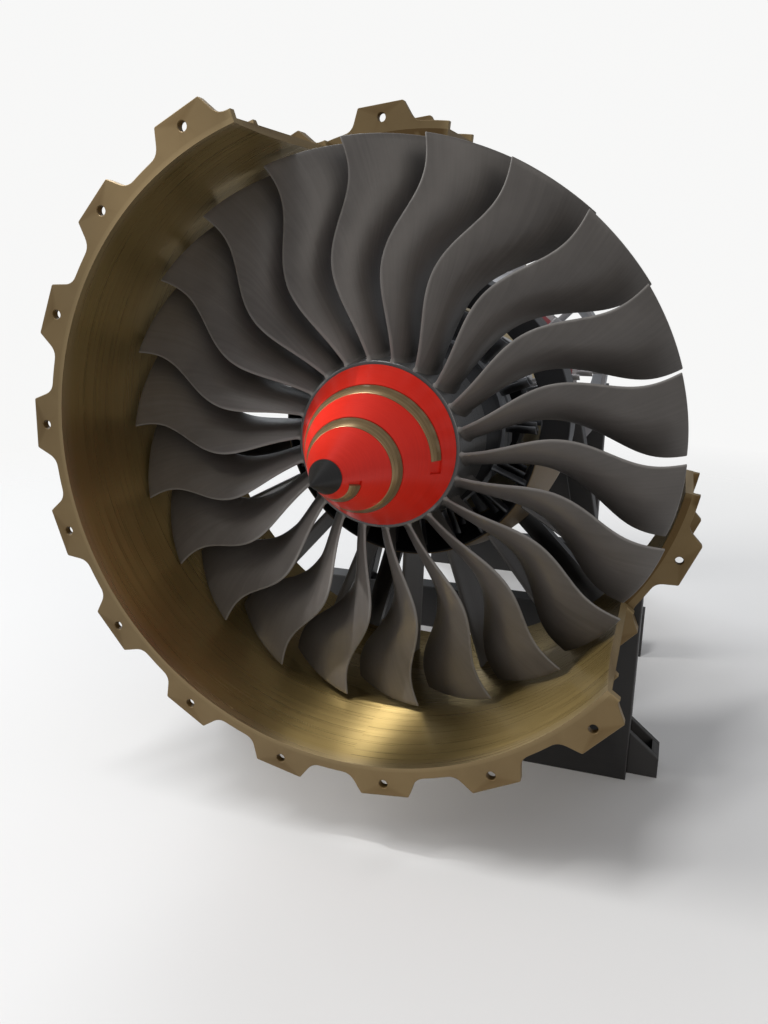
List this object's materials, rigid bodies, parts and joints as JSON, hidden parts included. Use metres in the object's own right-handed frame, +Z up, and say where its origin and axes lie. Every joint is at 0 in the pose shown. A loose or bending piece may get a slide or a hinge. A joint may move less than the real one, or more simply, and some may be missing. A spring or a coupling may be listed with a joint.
{
  "type": "cutaway turbofan engine display model",
  "caption": "Desk-top cutaway turbofan model on a stand, with swept fan blades, striped spinner and a core that shows its two spools.",
  "frame": {"origin": "middle of the sole of the front stand frame, on the table, below the engine's axis", "axes": "+Z up, +Y back along the engine's axis away from the intake, +X to the right as the intake is seen from the front"},
  "size_m": [0.2355, 0.3675, 0.2668],
  "materials": {
    "case_bronze": "satin",
    "blade_grey": "satin",
    "spinner_red": "satin",
    "stripe_gold": "satin",
    "tip_black": "satin",
    "shaft_metal": "satin",
    "rotor_silver": "satin",
    "vane_dark": "satin",
    "casing_silver": "satin",
    "liner_cream": "satin",
    "rotor_red": "satin",
    "plug_dark": "satin",
    "stand_black": "matte"
  },
  "bodies": {
    "engine": {"stand_front_frame": "stand_black", "front_fan_case": "case_bronze", "rear_fan_case": "case_bronze", "front_bearing": "shaft_metal", "middle_bearing": "shaft_metal", "rear_bearing": "shaft_metal", "booster_case": "case_bronze", "fan_frame": "case_bronze", "guide_vanes": "vane_dark", "compressor_case": "casing_silver", "combustor_case": "casing_silver", "turbine_case": "casing_silver", "combustor_liner": "liner_cream", "exhaust_frame": "casing_silver", "core_nozzle": "casing_silver", "exhaust_plug": "plug_dark", "stand_middle_frame": "stand_black", "stand_rear_frame": "stand_black"},
    "low_pressure_spool": {"fan_rotor": "blade_grey", "spinner": "spinner_red", "spinner_stripe": "stripe_gold", "spinner_tip": "tip_black", "inner_shaft": "shaft_metal", "booster_rotor": "rotor_silver", "rear_turbine_rotor": "rotor_silver"},
    "high_pressure_spool": {"outer_shaft": "shaft_metal", "compressor_rotor": "rotor_red", "front_turbine_rotor": "rotor_red"}
  },
  "joints": [
    {"name": "low_pressure_spool_turns", "type": "hinge", "parent": "engine", "child": "low_pressure_spool", "pos_m": [0, -0.0033, 0.146], "axis": [0, 1, 0], "continuous": true},
    {"name": "high_pressure_spool_turns", "type": "hinge", "parent": "engine", "child": "high_pressure_spool", "pos_m": [0, 0.0867, 0.146], "axis": [0, 1, 0], "continuous": true}
  ]
}
